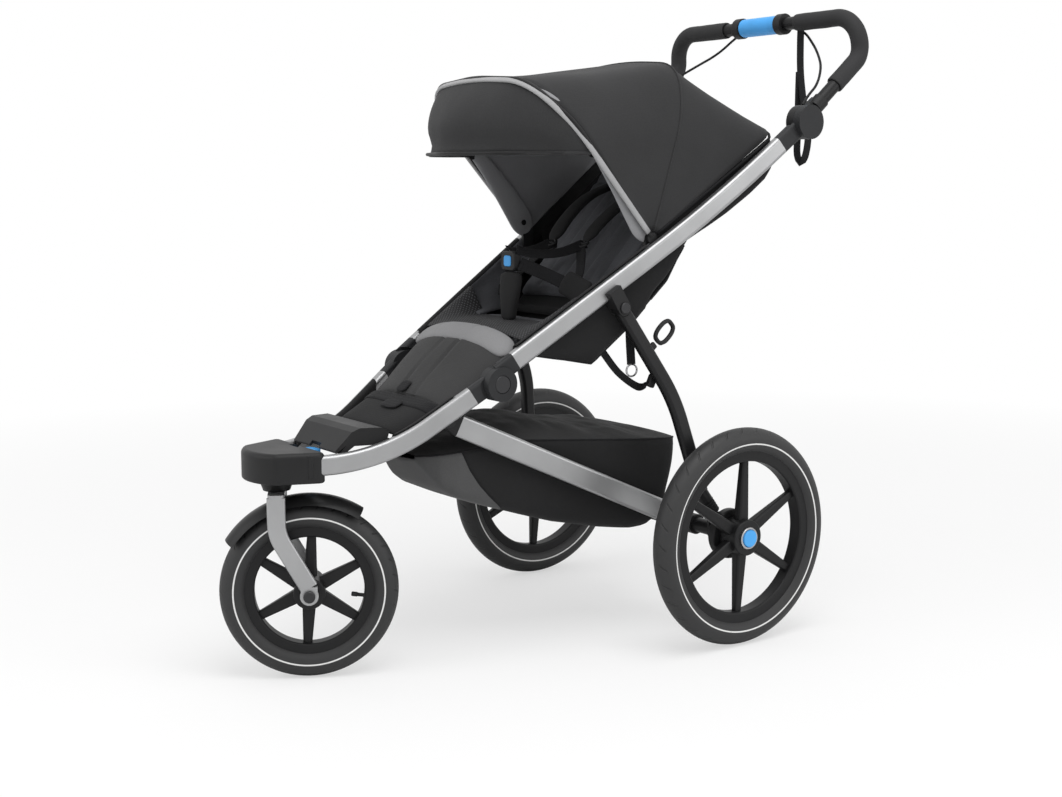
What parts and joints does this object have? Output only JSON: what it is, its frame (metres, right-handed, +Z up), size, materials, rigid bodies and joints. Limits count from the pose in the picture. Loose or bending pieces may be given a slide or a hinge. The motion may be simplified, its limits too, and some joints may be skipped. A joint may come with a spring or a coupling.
{
  "type": "jogging stroller",
  "caption": "Folding three-wheeled jogging stroller with swivel front wheel, reclining padded seat, canopy, basket, tilting handlebar and rear brake.",
  "frame": {"origin": "on the floor, midway under the rear axle", "axes": "+Z up, -Y the way it rolls forward, +X to the stroller's own left, along the rear axle"},
  "size_m": [0.7, 1.226, 1.1799],
  "materials": {
    "silver_frame": "satin silver anodised",
    "fork_silver": "satin silver painted casting",
    "steel": "zinc plated",
    "black_plastic": "fine moulded grain",
    "grey_rim": "semi-gloss moulded",
    "tyre_rubber": "matt rubber with a pale sidewall line",
    "boot_rubber": "matt",
    "foam": "closed-cell foam",
    "blue_accent": "moulded",
    "charcoal_fabric": "plain weave, coated",
    "seat_liner": "padded and quilted",
    "knee_band": "light grey padded band",
    "webbing": "ribbed webbing"
  },
  "bodies": {
    "front_frame": {"front_tubes": "silver_frame", "fold_hubs": "black_plastic", "frame_pins": "steel", "hub_cross_tube": "silver_frame", "nose_housing": "black_plastic", "footrest": "black_plastic", "calf_rest": "charcoal_fabric", "knee_roll": "knee_band", "bar_brackets": "black_plastic"},
    "swivel_lever": {"swivel_lever": "blue_accent"},
    "fork": {"fork": "fork_silver", "front_axle": "steel", "fender": "black_plastic"},
    "front_wheel": {"front_rim": "grey_rim", "front_tyre": "tyre_rubber"},
    "upper_frame": {"upper_tubes": "silver_frame", "hub_arms": "black_plastic", "tube_brackets": "black_plastic", "upper_pins": "steel", "handle_hubs": "black_plastic", "seat_shell": "charcoal_fabric", "seat_pad": "seat_liner", "crotch_pad": "seat_liner", "buckle_housing": "black_plastic", "harness_webbing": "webbing"},
    "buckle_button": {"buckle_button": "blue_accent"},
    "backrest": {"back_board": "charcoal_fabric", "back_pad": "seat_liner", "rear_pouch": "charcoal_fabric", "shoulder_pads": "seat_liner"},
    "canopy": {"canopy_bow": "silver_frame", "canopy_skin": "charcoal_fabric"},
    "visor": {"visor_wire": "silver_frame", "visor_skin": "charcoal_fabric"},
    "rear_legs": {"rear_legs": "silver_frame", "shock_boots": "boot_rubber"},
    "shocks": {"shock_rods": "steel"},
    "lower_bars": {"lower_bars": "silver_frame", "bar_fittings": "black_plastic", "rear_axle_beam": "silver_frame", "hub_carriers": "black_plastic", "brake_drums": "black_plastic", "basket": "charcoal_fabric", "basket_cover": "charcoal_fabric"},
    "brake_pedal": {"brake_pedal": "black_plastic"},
    "rear_wheel_left": {"rear_rim_left": "grey_rim", "rear_tyre_left": "tyre_rubber", "hub_cap_left": "black_plastic"},
    "rear_wheel_right": {"rear_rim_right": "grey_rim", "rear_tyre_right": "tyre_rubber", "hub_cap_right": "black_plastic"},
    "axle_button_left": {"axle_button_left": "blue_accent"},
    "axle_button_right": {"axle_button_right": "blue_accent"},
    "handlebar": {"handle_arms": "black_plastic", "handle_tube": "silver_frame", "foam_grips": "foam", "brake_clamps": "black_plastic", "handle_cables": "boot_rubber", "wrist_strap": "webbing"},
    "twist_grip": {"twist_grip": "blue_accent"}
  },
  "joints": [
    {"name": "fold", "type": "hinge", "parent": "front_frame", "child": "upper_frame", "pos_m": [0, -0.424, 0.497], "axis": [1, 0, 0], "range_deg": [-104, 0]},
    {"name": "bar_fold", "type": "hinge", "parent": "front_frame", "child": "lower_bars", "pos_m": [0, -0.505, 0.4367], "axis": [1, 0, 0], "range_deg": [-83, 0], "deforming": ["basket", "basket_cover"]},
    {"name": "leg_fold", "type": "hinge", "parent": "upper_frame", "child": "rear_legs", "pos_m": [0, -0.19, 0.62], "axis": [1, 0, 0], "range_deg": [0, 37.3]},
    {"name": "shock_travel", "type": "slide", "parent": "rear_legs", "child": "shocks", "axis": [0, -0.606, 0.7955], "range_m": [0, 0.015], "stiffness_N_per_m": 16000, "deforming": ["shock_boots"]},
    {"name": "fork_swivel", "type": "hinge", "parent": "front_frame", "child": "fork", "pos_m": [0, -0.768, 0.35], "axis": [0, 0, 1], "continuous": true},
    {"name": "front_wheel_spin", "type": "hinge", "parent": "fork", "child": "front_wheel", "pos_m": [0.02441, -0.72209, 0.152], "axis": [0.8829, -0.4695, 0], "continuous": true},
    {"name": "swivel_lock", "type": "hinge", "parent": "front_frame", "child": "swivel_lever", "pos_m": [0, -0.727, 0.388], "axis": [1, 0, 0], "range_deg": [0, 50]},
    {"name": "rear_wheel_left_spin", "type": "hinge", "parent": "lower_bars", "child": "rear_wheel_left", "pos_m": [0.3215, 0, 0.2], "axis": [1, 0, 0], "continuous": true},
    {"name": "rear_wheel_right_spin", "type": "hinge", "parent": "lower_bars", "child": "rear_wheel_right", "pos_m": [-0.3215, 0, 0.2], "axis": [1, 0, 0], "continuous": true},
    {"name": "axle_button_left_press", "type": "slide", "parent": "rear_wheel_left", "child": "axle_button_left", "axis": [-1, 0, 0], "range_m": [0, 0.003], "stiffness_N_per_m": 800},
    {"name": "axle_button_right_press", "type": "slide", "parent": "rear_wheel_right", "child": "axle_button_right", "axis": [1, 0, 0], "range_m": [0, 0.003], "stiffness_N_per_m": 800},
    {"name": "brake_pedal_press", "type": "hinge", "parent": "lower_bars", "child": "brake_pedal", "pos_m": [0, 0, 0.2], "axis": [-1, 0, 0], "range_deg": [0, 20]},
    {"name": "recline", "type": "hinge", "parent": "upper_frame", "child": "backrest", "pos_m": [0, -0.172, 0.596], "axis": [-1, 0, 0], "range_deg": [0, 20], "deforming": ["harness_webbing"]},
    {"name": "canopy_fold", "type": "hinge", "parent": "upper_frame", "child": "canopy", "pos_m": [0, -0.112, 0.742], "axis": [-1, 0, 0], "range_deg": [0, 75], "deforming": ["canopy_skin"]},
    {"name": "visor_flip", "type": "hinge", "parent": "canopy", "child": "visor", "pos_m": [0, -0.2439, 0.8937], "axis": [-1, 0, 0], "range_deg": [0, 40], "deforming": ["visor_skin"]},
    {"name": "handle_tilt", "type": "hinge", "parent": "upper_frame", "child": "handlebar", "pos_m": [0, 0.208, 0.954], "axis": [1, 0, 0], "range_deg": [-75, 15], "deforming": ["wrist_strap"]},
    {"name": "brake_twist", "type": "hinge", "parent": "handlebar", "child": "twist_grip", "pos_m": [0, 0.344, 1.159], "axis": [1, 0, 0], "range_deg": [0, 30]},
    {"name": "buckle_press", "type": "slide", "parent": "upper_frame", "child": "buckle_button", "axis": [0, 1, 0], "range_m": [0, 0.0025], "stiffness_N_per_m": 700}
  ],
  "couplings": [
    {"joint": "bar_fold", "follows": "fold", "ratio": 0.797},
    {"joint": "leg_fold", "follows": "fold", "ratio": -0.358}
  ]
}
